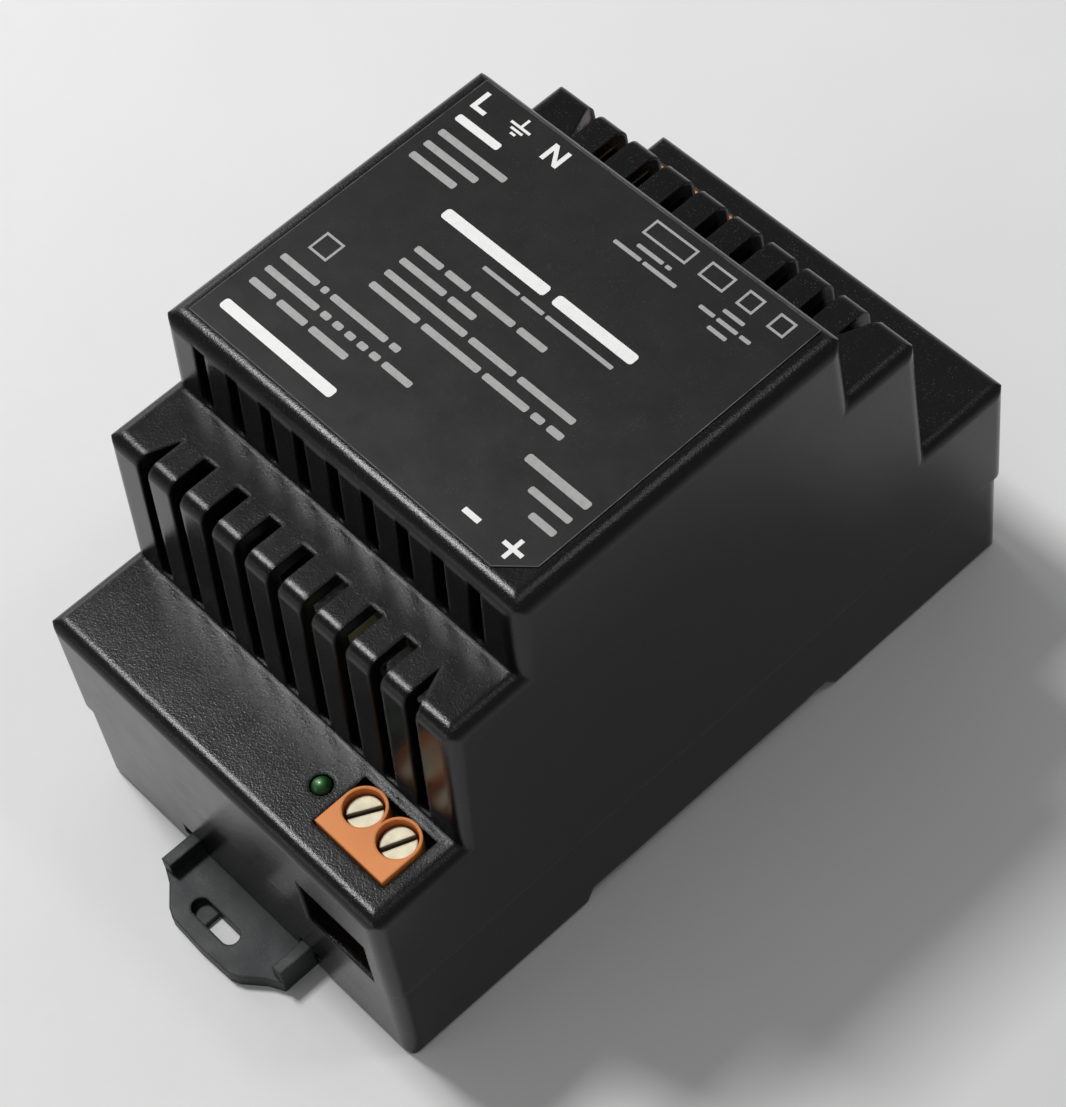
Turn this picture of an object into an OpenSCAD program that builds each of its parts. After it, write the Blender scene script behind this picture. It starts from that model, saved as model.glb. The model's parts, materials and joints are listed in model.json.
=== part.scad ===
// Modular supply for a 35 mm mounting rail: stepped housing, three modules wide.
// +Z points away from the rail, +Y is the input side (up when mounted), X runs along the rail.
// The origin lies on the rail seat plane, in the middle of the housing.

/* [Housing] */
// Width along the rail
body_w = 52.3; // [52:0.1:53]
// Length across the rail
body_l = 90; // [88:0.5:92]
// Height of the label plateau over the rail seat
plateau_z = 58.3; // [57:0.1:60]
// Height of the middle ledge over the rail seat
mid_z = 47.6; // [46.5:0.1:48.5]
// Height of the lower ledge over the rail seat
low_z = 27.9; // [27:0.1:29]
// Height of the joint line between cover and base
seam_z = 11.8; // [11.5:0.1:12.2]
// Depth of the rail recess in the back
recess_d = 2.4; // [2.2:0.1:2.6]
// Wall thickness of the cover and the base
wall = 1.8; // [1.6:0.1:2]
// Inset of the base behind the cover's side faces
base_inset = 0.38; // [0.2:0.02:0.4]
// Half length of the label plateau at its top
plateau_hy = 21.8; // [21.6:0.1:22]
// Half length of the label plateau at its foot
plateau_foot_hy = 22.6; // [22.4:0.1:22.8]
// Half length of the middle block at its top
mid_hy = 31.7; // [31.5:0.1:32]
// Half length of the middle block at its foot
mid_foot_hy = 33; // [32.8:0.1:33.2]
// Rounding of the plateau's edges
r_top = 2; // [1:0.1:2.4]
// Rounding of the ledges' edges
r_ledge = 1.6; // [0.8:0.1:1.7]
// Rounding of the upright edges
r_up = 1.7; // [0.8:0.1:2]
// Rounding of the base's lower edges
r_foot = 1; // [0.4:0.1:1.2]

/* [Vent slots] */
// Slots in each wall
slot_n = 9; // [5:2:9]
// Distance between slots
slot_p = 5.06; // [4.9:0.02:5.1]
// Width of a slot
slot_w = 1.85; // [1.2:0.05:2.2]
// Inner end of the notches in the middle ledge
notch_y = 26.6; // [26:0.1:27.5]

/* [Terminals] */
// Distance between poles
pole_p = 5.08; // [5:0.01:5.1]
// Middle of the output terminal along the rail
out_x = 17.95; // [17.4:0.05:18.1]
// Middle of the input terminal along the rail
in_x = -15.5; // [-15.9:0.05:-15]
// Distance of the screws from the housing's middle line
screw_y = 36.7; // [36.5:0.1:36.9]
// Height of the terminals' tops
term_z = 28.4; // [28:0.1:28.8]

/* [Rail latch] */
// Half width of the latch
tab_hw = 10; // [9.8:0.1:10.1]
// Outer end of the pull tab
tab_y = -52.6; // [-53:0.1:-52.5]
// Thickness of the pull tab
tab_t = 1.9; // [1.6:0.1:2]
// Travel of the latch
latch_travel = 4; // [3:0.1:4]

/* [Hidden] */
$fn = 64;
hw = body_w / 2;
hl = body_l / 2;
back_z = -recess_d;
rib_z = 1.6;
bw = hw - base_inset;
bl = hl - 0.25;
floor_z = 2.8;
board_z = 8.9;
board_t = 1.6;
pcb = board_z + board_t;
out_poles = [out_x - pole_p / 2, out_x + pole_p / 2];
in_poles = [in_x - pole_p, in_x, in_x + pole_p];
posts = [[-19, -36], [19, 29], [5, -36], [-19, 29]];
pegs = [[-2, 4], [4, -12], [-6, 39], [8, 38]];
wire_z = pcb + 3.55;
wire_r = 1.45;
led_x = 10.1;
led_y = -37.8;
bridge_x = -3.4;
bridge_y = 15.7;
ic_x = -10.5;
ic_y = -5;
opto_x = -1;
opto_y = -17;
fet_y = -8;
diode_y = -10.6;
ycap_x = -13;
ycap_y = -16.5;
var_x = -3;
var_y = 30.3;
trafo_x = 6;
trafo_y = 4.6;
choke_x = 12.5;
choke_y = 22.5;
ring_x = -11.5;
ring_y = -27.6;
body_col = [0.13, 0.13, 0.135];
term_col = [0.86, 0.45, 0.2];
screw_col = [0.86, 0.83, 0.68];

// ---- plan and section helpers ----

// What a rounded corner removes, corner at the origin, material towards sx, sy
module corner_bit(sx, sy, r) {
    scale([sx, sy]) difference() {
        translate([-1, -1]) square([1 + r, 1 + r]);
        translate([r, r]) circle(r);
        translate([r, -2]) square([2, r + 4]);
        translate([-2, r]) square([r + 4, 2]);
    }
}

// Rounded rectangle with true arcs
module rrect(x0, y0, x1, y1, r) {
    difference() {
        translate([x0, y0]) square([x1 - x0, y1 - y0]);
        translate([x0, y0]) corner_bit(1, 1, r);
        translate([x1, y0]) corner_bit(-1, 1, r);
        translate([x0, y1]) corner_bit(1, -1, r);
        translate([x1, y1]) corner_bit(-1, -1, r);
    }
}

// Rectangle whose two upper corners are rounded
module arch(h0, h1, v0, v1, r) {
    difference() {
        translate([h0, v0]) square([h1 - h0, v1 - v0]);
        translate([h0, v1]) corner_bit(1, -1, r);
        translate([h1, v1]) corner_bit(-1, -1, r);
    }
}

// Section in Y and Z pushed along X over the full width
module along_x(x0, x1) {
    translate([x0, 0, 0]) rotate([90, 0, 90]) linear_extrude(x1 - x0) children();
}

// Section in X and Z pushed along Y
module along_y(y0, y1) {
    translate([0, y1, 0]) rotate([90, 0, 0]) linear_extrude(y1 - y0) children();
}

// One step of the housing: rounded top edges and upright edges, walls leaning in towards the top
module step_block(hx, hy_top, hy_foot, z0, z1, r) {
    a = atan((hy_foot - hy_top) / (z1 - r - z0));
    intersection() {
        along_x(-hx, hx) union() {
            arch(-hy_top, hy_top, z0, z1, r);
            polygon([[-hy_foot, z0], [hy_foot, z0], [hy_top, z1 - r], [-hy_top, z1 - r]]);
        }
        along_y(-hy_foot - 1, hy_foot + 1) arch(-hx, hx, z0 - 1, z1, r);
        // the upright edges follow the leaning walls
        translate([0, hy_foot, z0]) rotate([a, 0, 0]) translate([0, 0, -5]) linear_extrude(z1 - z0 + 12) rrect(-hx, -2 * hy_foot - 10, hx, 0, r);
        translate([0, -hy_foot, z0]) rotate([-a, 0, 0]) translate([0, 0, -5]) linear_extrude(z1 - z0 + 12) rrect(-hx, 0, hx, 2 * hy_foot + 10, r);
    }
}

// ---- housing ----

module vent_slots(s) {
    for (i = [0 : slot_n - 1]) {
        x = (i - (slot_n - 1) / 2) * slot_p;
        // upper wall
        translate([x, s * plateau_hy, 0]) {
            translate([-slot_w / 2, -3, mid_z + 0.5 + slot_w / 2]) cube([slot_w, 6, plateau_z - 1.5 - mid_z - 0.5 - slot_w / 2]);
            translate([0, 0, mid_z + 0.5 + slot_w / 2]) rotate([90, 0, 0])
                cylinder(h = 6, r = slot_w / 2 - 0.01, center = true);
        }
        // lower wall, running up into the ledge as a notch; the outermost notches taper to a point
        ya = s > 0 ? notch_y : -mid_foot_hy - 2;
        yb = s > 0 ? mid_foot_hy + 2 : -notch_y;
        e = i == 0 ? -1 : i == slot_n - 1 ? 1 : 0;
        if (e == 0)
            translate([x - slot_w / 2, ya, mid_z - 6]) cube([slot_w, yb - ya, 8]);
        else
            translate([0, 0, mid_z - 6]) linear_extrude(8) polygon([
                [x - e * slot_w / 2, s * notch_y], [x + e * slot_w / 2, s * (mid_hy - 0.6)],
                [x + e * slot_w / 2, s * (mid_foot_hy + 2)], [x - e * slot_w / 2, s * (mid_foot_hy + 2)]]);
        translate([x - slot_w / 2, s > 0 ? mid_hy - 3 : -mid_foot_hy - 2, low_z + 0.7])
            cube([slot_w, mid_foot_hy + 2 - mid_hy + 3, mid_z - 3 - low_z]);
    }
}

module housing_cover() {
    color(body_col) difference() {
        union() {
            step_block(hw, hl, hl, seam_z, low_z, r_ledge);
            step_block(hw, mid_hy, mid_foot_hy, low_z - 2, mid_z, r_ledge);
            step_block(hw, plateau_hy, plateau_foot_hy, mid_z - 2, plateau_z, r_top);
        }
        // cavity, one room per step
        translate([-hw + wall, -hl + wall, seam_z - 1]) cube([2 * (hw - wall), 2 * (hl - wall), low_z - wall - seam_z + 1]);
        translate([-hw + wall, -mid_hy + wall, seam_z]) cube([2 * (hw - wall), 2 * (mid_hy - wall), mid_z - wall - seam_z]);
        translate([-hw + wall, -plateau_hy + wall, seam_z]) cube([2 * (hw - wall), 2 * (plateau_hy - wall), plateau_z - wall - seam_z]);
        vent_slots(-1);
        vent_slots(1);
        // openings over the terminals
        translate([out_x - pole_p - 0.3, -screw_y - 4.5, low_z - 5]) cube([2 * pole_p + 0.6, 7.15, 8]);
        translate([in_x - 1.5 * pole_p - 0.3, screw_y - 2.65, low_z - 5]) cube([3 * pole_p + 0.6, 7.15, 8]);
        // wire windows, open down to the joint line
        translate([out_x - pole_p - 0.4, -hl - 1, seam_z - 1]) cube([2 * pole_p + 0.4, 4, 9.5]);
        translate([in_x - 1.5 * pole_p, hl - 3, seam_z - 1]) cube([3 * pole_p, 4, 9.5]);
        // lamp hole
        translate([led_x, led_y, low_z - 4]) cylinder(h = 8, r = 1.28);
        // catches for the base's snap arms
        for (sx = [-1, 1], y = [-22, 22])
            translate([sx * (hw - wall) - 0.5, y - 4.2, 15.6]) cube([1, 8.4, 2.2]);
    }
}

// Section of the rail recess: sloped ends, wider at the back face
module recess_section() {
    polygon([[-19.9, back_z - 0.01], [-19.9, back_z], [-18.5, 0.15], [-14, 0.15], [-14, 0], [14, 0], [14, 0.15], [16.9, 0.15], [19, back_z], [19, back_z - 0.01]]);
}

// Outer form of the base, its lower edges rounded
module base_block() {
    intersection() {
        translate([0, 0, seam_z + back_z]) mirror([0, 0, 1]) {
            intersection() {
                along_x(-bw, bw) arch(-bl, bl, 2 * back_z, seam_z, r_foot);
                along_y(-bl - 1, bl + 1) arch(-bw, bw, 2 * back_z - 1, seam_z, r_foot);
            }
        }
        translate([0, 0, back_z - 1]) linear_extrude(seam_z - back_z + 1) rrect(-bw, -bl, bw, bl, r_up);
    }
}

module housing_base() {
    color(body_col) difference() {
        union() {
            difference() {
                base_block();
                translate([-bw + wall, -bl + wall, floor_z]) cube([2 * (bw - wall), 2 * (bl - wall), seam_z]);
            }
            // tongue that locates the cover
            difference() {
                translate([-hw + wall + 0.15, -hl + wall + 0.15, seam_z - 3]) cube([body_w - 2 * wall - 0.3, body_l - 2 * wall - 0.3, 4.5]);
                translate([-hw + wall + 1.15, -hl + wall + 1.15, seam_z - 4]) cube([body_w - 2 * wall - 2.3, body_l - 2 * wall - 2.3, 7]);
            }
            // snap arms
            for (sx = [-1, 1], y = [-22, 22]) {
                translate([sx * (hw - wall - 0.8) - 0.65, y - 4, seam_z - 3]) cube([1.3, 8, 8.6]);
                translate([sx * (hw - wall), y, 0]) rotate([90, 0, 0]) linear_extrude(8, center = true)
                    polygon([[sx * -0.5, 15.9], [sx * 0.35, 15.9], [sx * -0.5, 17.3]]);
            }
            // posts under the board
            for (p = posts) translate([p[0], p[1], floor_z - 1]) cylinder(h = board_z - floor_z + 1, r = 3);
            for (p = pegs) translate([p[0], p[1], floor_z - 1]) cylinder(h = board_z - floor_z + 1, r = 1.5);
            // spring pocket's roof
            translate([-5, -20.5, floor_z - 1]) cube([10, 18.5, 2.6]);
        }
        along_x(-hw, hw) recess_section();
        // room in front of the terminals, so that the wire windows end at the joint line
        translate([out_x - pole_p - 0.4, -hl - 1, seam_z - 0.4]) cube([2 * pole_p + 0.4, 3.2, 4]);
        translate([in_x - 1.5 * pole_p, hl - 2.2, seam_z - 0.4]) cube([3 * pole_p, 3.2, 4]);
        translate([out_x - pole_p - 0.3, -hl + wall + 0.25, pcb - 0.3]) cube([2 * pole_p + 0.6, 3, 6]);
        translate([in_x - 1.5 * pole_p - 0.3, hl - wall - 3.25, pcb - 0.3]) cube([3 * pole_p + 0.6, 3, 6]);
        // board screw holes
        for (p = [[-19, -36], [19, 29]]) translate([p[0], p[1], 3.6]) cylinder(h = 8, r = 1.1);
            translate([-tab_hw - 0.3, -hl - 1, back_z - 1]) cube([2 * tab_hw + 0.6, hl - 16.5, 1.3 + tab_t]);
        for (s = [-1, 1]) scale([s, 1, 1]) {
            translate([tab_hw - 1.7, -hl - 1, -1]) cube([2, hl + 1 - 20.2, rib_z + 1.3]);
            translate([tab_hw, -hl - 1, rib_z - 1.4]) cube([1.4, hl + 1 - 20.2, 1.7]);
        }
        // pocket of the latch's lug, then the spring pocket
        translate([-2.4, -26.7, -1]) cube([4.8, 7, 2.8]);
        translate([-2.4, -19.8, 0.3]) cube([4.8, 16.2, 2.3]);
        // hook side: room for the rail's edge under the lip
        translate([-hw, 15, -1.12]) cube([body_w, 1.9, 1.27]);
    }
    // fixed lip that catches the rail's upper edge
    color(body_col) for (x = [-17, 9]) translate([x, 15.5, back_z]) cube([8, 3.4, 1.22]);
}

module front_label() {
    z = plateau_z;
    color([0.2, 0.2, 0.205]) translate([0, 0, z]) linear_extrude(0.12) polygon([
        [-23.9, -19.6], [20.6, -19.6], [23.9, -16.6], [23.9, 20.6], [-23.9, 20.6]]);
}

// ---- rail latch ----

module din_clip() {
    t = back_z + tab_t;
    color([0.27, 0.28, 0.29]) difference() {
        union() {
            // plate, its outer end shaped as a pull tab
            translate([0, 0, back_z]) linear_extrude(tab_t) polygon([
                [-tab_hw, -20], [-tab_hw, -hl - 4.1], [-tab_hw + 1.8, -hl - 5], [-tab_hw + 4.1, -hl - 6.9],
                [-tab_hw + 5.2, -hl - 7.4], [0, tab_y], [tab_hw - 5.2, -hl - 7.4], [tab_hw - 4.1, -hl - 6.9],
                [tab_hw - 1.8, -hl - 5], [tab_hw, -hl - 4.1], [tab_hw, -20]]);
            // side ribs with flanges that run in the base's grooves
            for (s = [-1, 1]) scale([s, 1, 1]) {
                translate([tab_hw - 1.4, -hl - 4.1, t - 0.1]) cube([1.4, hl + 4.1 - 20.5, rib_z - t + 0.1]);
                translate([tab_hw - 0.1, -hl + 1, rib_z - 1.1]) cube([1.2, hl - 21.5, 1.1]);
            }
            // bevelled nose that goes behind the rail's edge
            along_x(-9.5, 9.5) polygon([[-20.1, back_z], [-18.3, back_z], [-16.9, -1.9], [-16.9, -1.18], [-19.2, -1.18], [-19.2, t], [-20.1, t]]);
            // lug that the spring pulls on
            translate([-2, -22.2, t - 0.1]) cube([4, 2.2, 1.45 - t + 0.1]);
        }
        // screwdriver slot
        translate([-1, -hl - 4.4, back_z + 0.7]) linear_extrude(6) union() {
            translate([-2.5, -1.1]) square([5, 2.2]);
            translate([-2.5, 0]) circle(1.1);
            translate([2.5, 0]) circle(1.1);
        }
        // the slot goes right through at its +X end only
        translate([-1, -hl - 4.4, back_z - 1]) linear_extrude(6) union() {
            translate([-1, -1.09]) square([3.5, 2.18]);
            translate([2.5, 0]) circle(1.09);
        }
    }
}

// Zigzag wire, from its fixed end in the base to the latch's lug
module clip_spring() {
    n = 6;
    y0 = -4;
    y1 = -19.6;
    step = (y1 - y0) / (2 * n);
    color([0.75, 0.75, 0.77]) translate([0, 0, 1.1]) linear_extrude(0.5) union() {
        for (i = [0 : 2 * n - 1]) translate([i % 2 == 0 ? -2 : -2, y0 + i * step - 0.25]) square([4, 0.5]);
        for (i = [0 : 2 * n - 2]) translate([i % 2 == 0 ? 1.5 : -2, y0 + (i + 1) * step - 0.25]) square([0.5, -step + 0.5]);
    }
}

// ---- terminals ----

// Poles at xs, s is the side of the housing: -1 output, 1 input. Drawn for the output side and mirrored.
module terminal_body(xs, s) {
    n = len(xs);
    x0 = xs[0] - pole_p / 2;
    w = n * pole_p;
    color(term_col) scale([1, -s, 1]) difference() {
        union() {
            // lower body with the wire entries
            translate([x0, -42.9, pcb]) cube([w, 8.9, 10.5]);
            // screw tower: flat outside, round collars inside
            translate([x0, -41, pcb + 9]) cube([w, 41 - screw_y, term_z - pcb - 9]);
            for (x = xs) translate([x, -screw_y, pcb + 9]) cylinder(h = term_z - pcb - 9, r = pole_p / 2 - 0.01);
        }
        for (x = xs) {
            translate([x, -screw_y, term_z - 3.4]) cylinder(h = 4, r = 2.2);
            translate([x, -screw_y, pcb + 1]) cylinder(h = 20, r = 1.56);
            // chamber of the clamp cage
            translate([x - 2.2, -39.9, pcb + 0.9]) cube([4.4, 5.5, 9.6]);
            // way out for the contact's pin
            translate([x - 0.6, -35.3, pcb - 1]) cube([1.2, 0.9, 4]);
            // wire entry
            translate([x, -38, wire_z]) rotate([90, 0, 0]) cylinder(h = 6, r = wire_r);
            // funnel round the wire entry
            translate([x, -42.91, wire_z]) rotate([-90, 0, 0]) cylinder(h = 0.6, r1 = wire_r + 0.4, r2 = wire_r);
        }
        // parting groove between the poles
        if (n > 1) for (i = [0 : n - 2]) translate([xs[i] + pole_p / 2 - 0.15, -42.91, pcb + 3]) cube([0.3, 0.4, 8]);
    }
}

// Contact bars through the cages, each with its solder pin
module terminal_contacts(xs, s) {
    color([0.8, 0.78, 0.7]) scale([1, -s, 1]) for (x = xs) union() {
        translate([x - 1.2, -39.6, pcb + 5.2]) cube([2.4, 4.5, 0.6]);
        translate([x - 0.5, -35.2, pcb - 3.2]) cube([1, 0.7, 9]);
    }
}

module terminal_screw(x, s, turn) {
    top = term_z - 0.9;
    color(screw_col) translate([x, s * screw_y, 0]) difference() {
        union() {
            translate([0, 0, top - 1.8]) cylinder(h = 1.8, r = 1.9);
            translate([0, 0, pcb + 5.9]) cylinder(h = top - 1.8 - pcb - 5.9, r = 1.5);
        }
        rotate([0, 0, turn]) translate([-3, -0.3, top - 0.9]) cube([6, 0.6, 2]);
    }
}

// Rising clamp: a square ring that draws the wire against the contact
module terminal_cage(x, s) {
    color([0.8, 0.78, 0.7]) difference() {
        translate([x - 2, s * screw_y - (s < 0 ? 2.7 : 1.3), pcb + 1.2]) cube([4, 4, 6]);
        translate([x - 1.5, s * screw_y - 4, pcb + 1.9]) cube([3, 8, 4]);
        translate([x, s * screw_y, pcb + 3]) cylinder(h = 8, r = 1.55);
    }
}

// ---- lamp ----

module status_led() {
    color([0.16, 0.36, 0.18]) translate([led_x, led_y, 0]) union() {
        translate([0, 0, 24.2]) cylinder(h = 1, r = 1.65);
        translate([0, 0, 25.2]) cylinder(h = 2.25, r = 1.15);
        translate([0, 0, 27.45]) intersection() {
            sphere(1.15);
            cylinder(h = 2, r = 2);
        }
    }
    color([0.75, 0.75, 0.77]) for (dx = [-1.27, 1.27]) translate([led_x + dx - 0.25, led_y - 0.25, board_z - 1.4]) cube([0.5, 0.5, 24.2 - board_z + 1.4]);
}

module led_spacer() {
    color([0.1, 0.1, 0.1]) translate([led_x, led_y, pcb]) difference() {
        cylinder(h = 24.2 - pcb, r = 2.1);
        for (dx = [-1.27, 1.27]) translate([dx - 0.35, -0.35, -1]) cube([0.7, 0.7, 20]);
    }
}

// ---- board ----

// Holes for the components' legs: x, y, size along X, size along Y
leg_holes = concat(
    [for (i = [0 : 3]) [bridge_x + 1.7, bridge_y + 1.45 + i * 2.7, 0.8, 1.1]],
    [for (s = [-1, 1], i = [0 : 3]) [ic_x + s * 3.6, ic_y - 3.81 + i * 2.54, 1, 0.8]],
    [for (s = [-1, 1], i = [0 : 1]) [opto_x + s * 3.6, opto_y - 1.27 + i * 2.54, 1, 0.8]],
    [for (d = [-2.54, 0, 2.54]) [-20.8 + 2.3, fet_y + d, 0.8, 1]],
    [for (d = [-2.54, 0, 2.54]) [20.4 - 2.3, diode_y + d, 0.8, 1]],
    [for (d = [-3.4, 3.4]) [ycap_x + d, ycap_y - 1.7, 0.8, 0.8]],
    [for (d = [-3.4, 3.4]) [var_x + d, var_y - 1.7, 0.8, 0.8]]);

module main_board() {
    color([0.12, 0.35, 0.2]) difference() {
        translate([-22.8, -41.5, board_z]) cube([45.6, 83, board_t]);
        for (p = [[-19, -36], [19, 29]]) translate([p[0], p[1], 0]) cylinder(h = 20, r = 1.6);
        for (x = out_poles) translate([x - 0.6, -35.3, 0]) cube([1.2, 0.9, 20]);
        for (x = in_poles) translate([x - 0.6, 34.4, 0]) cube([1.2, 0.9, 20]);
        for (dx = [-1.27, 1.27]) translate([led_x + dx - 0.3, led_y - 0.3, 0]) cube([0.6, 0.6, 20]);
        for (q = leg_holes) translate([q[0] - q[2] / 2, q[1] - q[3] / 2, 0]) cube([q[2], q[3], 20]);
        // isolation slot between the mains side and the output side
        translate([-14, -14, 0]) cube([12, 1.5, 20]);
    }
}

module insulation_sheet() {
    color([0.85, 0.85, 0.8]) difference() {
        translate([-22.4, -41, floor_z + 2.6]) cube([44.8, 82, 0.3]);
        for (p = posts) translate([p[0], p[1], 0]) cylinder(h = 20, r = 3.1);
        for (p = pegs) translate([p[0], p[1], 0]) cylinder(h = 20, r = 1.6);
    }
}

module board_screws() {
    color([0.7, 0.7, 0.72]) for (p = [[-19, -36], [19, 29]]) translate([p[0], p[1], 0]) difference() {
        union() {
            translate([0, 0, pcb]) cylinder(h = 1.6, r = 2.4);
            translate([0, 0, pcb - 6]) cylinder(h = 6, r = 1.08);
        }
        for (a = [0, 90]) rotate([0, 0, a]) translate([-1.6, -0.3, pcb + 0.8]) cube([3.2, 0.6, 2]);
    }
}

// ---- converter parts ----

module transformer_core() {
    color([0.22, 0.22, 0.24]) translate([trafo_x, trafo_y, pcb + 2]) difference() {
        translate([-12.5, -3.5, 0]) cube([25, 7, 25]);
        for (s = [-1, 1]) translate([s * 6.3 - 2.8, -5, 3.5]) cube([5.6, 10, 18]);
    }
}

module transformer_bobbin() {
    color([0.16, 0.16, 0.17]) translate([trafo_x, trafo_y, pcb]) difference() {
        union() {
            translate([-9, -10, 5.8]) cube([18, 20, 1]);
            translate([-9, -10, 22.2]) cube([18, 20, 1]);
            translate([-4.4, -4.4, 5.8]) cube([8.8, 8.8, 17.4]);
            translate([-10, -10, 0]) cube([20, 3, 5.8]);
            translate([-10, 7, 0]) cube([20, 3, 5.8]);
        }
        translate([-3.55, -3.55, 0]) cube([7.1, 7.1, 30]);
    }
}

module transformer_winding() {
    color([0.9, 0.8, 0.35]) translate([trafo_x, trafo_y, pcb + 6.9]) linear_extrude(15.2) difference() {
        rrect(-8.3, -9.3, 8.3, 9.3, 3);
        translate([-4.5, -4.5]) square([9, 9]);
    }
}

// Upright can: sleeve with a beaded foot and a scored top
module can(r, h, c) {
    color(c) union() {
        cylinder(h = 1.2, r = r);
        translate([0, 0, 1.2]) cylinder(h = 0.8, r1 = r, r2 = r - 0.35);
        translate([0, 0, 2]) cylinder(h = 0.8, r1 = r - 0.35, r2 = r);
        translate([0, 0, 2.8]) cylinder(h = h - 3.3, r = r);
        translate([0, 0, h - 0.5]) cylinder(h = 0.5, r1 = r, r2 = r - 0.5);
    }
    color([0.8, 0.8, 0.82]) translate([0, 0, h]) difference() {
        cylinder(h = 0.3, r = r - 1);
        for (a = [0, 90]) rotate([0, 0, a]) translate([-r / 2, -0.2, 0.1]) cube([r, 0.4, 1]);
    }
}

module bulk_capacitor() { translate([-13, 18, pcb]) can(9, 33, [0.12, 0.12, 0.14]); }
module output_capacitor_a() { translate([1, -25.6, pcb]) can(4, 29.4, [0.15, 0.14, 0.2]); }
module output_capacitor_b() { translate([14.2, -24.8, pcb]) can(5, 29.4, [0.15, 0.14, 0.2]); }

module film_capacitor() {
    color([0.86, 0.8, 0.5]) translate([5.4, -29.6, pcb]) intersection() {
        cube([3.4, 7, 30]);
        along_y(-1, 9) arch(0, 3.4, -1, 30, 0.6);
    }
}

module primary_heatsink() {
    color([0.75, 0.76, 0.78]) difference() {
        union() {
            translate([-22.4, -20, pcb]) cube([1.6, 26, 34.6]);
            translate([-22.4, -20, pcb]) cube([4.5, 1.6, 34.6]);
        }
        translate([-25, fet_y, pcb + 22]) rotate([0, 90, 0]) cylinder(h = 8, r = 1.6);
    }
}

module secondary_heatsink() {
    color([0.75, 0.76, 0.78]) difference() {
        translate([20.4, -19, pcb]) cube([1.6, 17, 30.6]);
        translate([18, diode_y, pcb + 22]) rotate([0, 90, 0]) cylinder(h = 8, r = 1.6);
    }
}

// Power package with tab and three legs; s is the side that it faces
module power_package(x, y, s) {
    color([0.1, 0.1, 0.1]) translate([s > 0 ? x + 1.3 : x - 4.5, y - 5, pcb + 5]) cube([3.2, 10, 9.5]);
    color([0.7, 0.7, 0.72]) {
        difference() {
            translate([s > 0 ? x : x - 1.3, y - 5, pcb + 5]) cube([1.3, 10, 20]);
            translate([x - 5, y, pcb + 22]) rotate([0, 90, 0]) cylinder(h = 10, r = 1.6);
        }
        for (d = [-2.54, 0, 2.54]) translate([s > 0 ? x + 2 : x - 2.6, y + d - 0.4, pcb - 3]) cube([0.6, 0.8, 8]);
    }
}

module switching_transistor() { power_package(-20.8, fet_y, 1); }
module output_diode() { power_package(20.4, diode_y, -1); }

module heatsink_screws() {
    color([0.7, 0.7, 0.72]) {
        translate([-23.2, fet_y, pcb + 22]) rotate([0, 90, 0]) union() {
            cylinder(h = 5.7, r = 1.5);
            translate([0, 0, 3.7]) cylinder(h = 2, r = 2.8);
        }
        translate([22.6, diode_y, pcb + 22]) rotate([0, -90, 0]) union() {
            cylinder(h = 5.5, r = 1.5);
            translate([0, 0, 3.5]) cylinder(h = 2, r = 2.8);
        }
    }
}

module choke_core() {
    color([0.22, 0.22, 0.24]) translate([choke_x, choke_y, pcb]) difference() {
        translate([-8, -4, 0]) cube([16, 8, 19]);
        translate([-4, -6, 4]) cube([8, 12, 11]);
    }
}

module choke_windings() {
    color([0.72, 0.4, 0.2]) translate([choke_x, choke_y, pcb + 4.2]) for (s = [-1, 1])
        translate([s * 6, 0, 0]) linear_extrude(10.6) difference() {
            rrect(-3.7, -5.7, 3.7, 5.7, 1.5);
            translate([-2.1, -4.1]) square([4.2, 8.2]);
        }
}

module x_capacitor() {
    color([0.86, 0.72, 0.2]) translate([3, 31.8, pcb]) cube([15, 7, 12]);
}

module y_capacitor() {
    color([0.2, 0.4, 0.7]) translate([ycap_x, ycap_y, pcb + 6.4]) rotate([90, 0, 0]) cylinder(h = 3.4, r = 4.4);
    color([0.7, 0.7, 0.72]) for (d = [-3.4, 3.4]) translate([ycap_x - 0.3 + d, ycap_y - 2, pcb - 3]) cube([0.6, 0.6, 6.6]);
}

module input_fuse() {
    color([0.12, 0.12, 0.12]) translate([-3, 36, pcb]) cylinder(h = 8, r = 4.1);
}

module varistor() {
    color([0.15, 0.35, 0.55]) translate([var_x, var_y, pcb + 5.8]) rotate([90, 0, 0]) cylinder(h = 3.4, r = 4.6);
    color([0.7, 0.7, 0.72]) for (d = [-3.4, 3.4]) translate([var_x - 0.3 + d, var_y - 2, pcb - 3]) cube([0.6, 0.6, 6]);
}

module bridge_rectifier() {
    color([0.1, 0.1, 0.1]) translate([bridge_x, bridge_y, pcb + 2.5]) cube([3.4, 11, 11]);
    color([0.7, 0.7, 0.72]) for (i = [0 : 3]) translate([bridge_x + 1.4, bridge_y + 1 + i * 2.7, pcb - 3]) cube([0.6, 0.9, 5.6]);
}

// Dual in-line package, long side along Y
module dip(x, y, pins) {
    l = pins * 2.54 / 2;
    color([0.09, 0.09, 0.1]) translate([x - 3.2, y - l / 2, pcb + 0.8]) cube([6.4, l, 3.4]);
    color([0.7, 0.7, 0.72]) for (s = [-1, 1], i = [0 : pins / 2 - 1])
        translate([x + s * 3.6 - 0.4, y - l / 2 + 1.27 + i * 2.54 - 0.3, pcb - 3]) cube([0.8, 0.6, 5.4]);
}

module control_ic() { dip(ic_x, ic_y, 8); }
module optocoupler() { dip(opto_x, opto_y, 4); }

module inductor_core() {
    color([0.75, 0.75, 0.2]) translate([ring_x, ring_y, pcb + 1.2]) difference() {
        cylinder(h = 6, r = 6);
        translate([0, 0, -1]) cylinder(h = 9, r = 3);
    }
}

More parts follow.
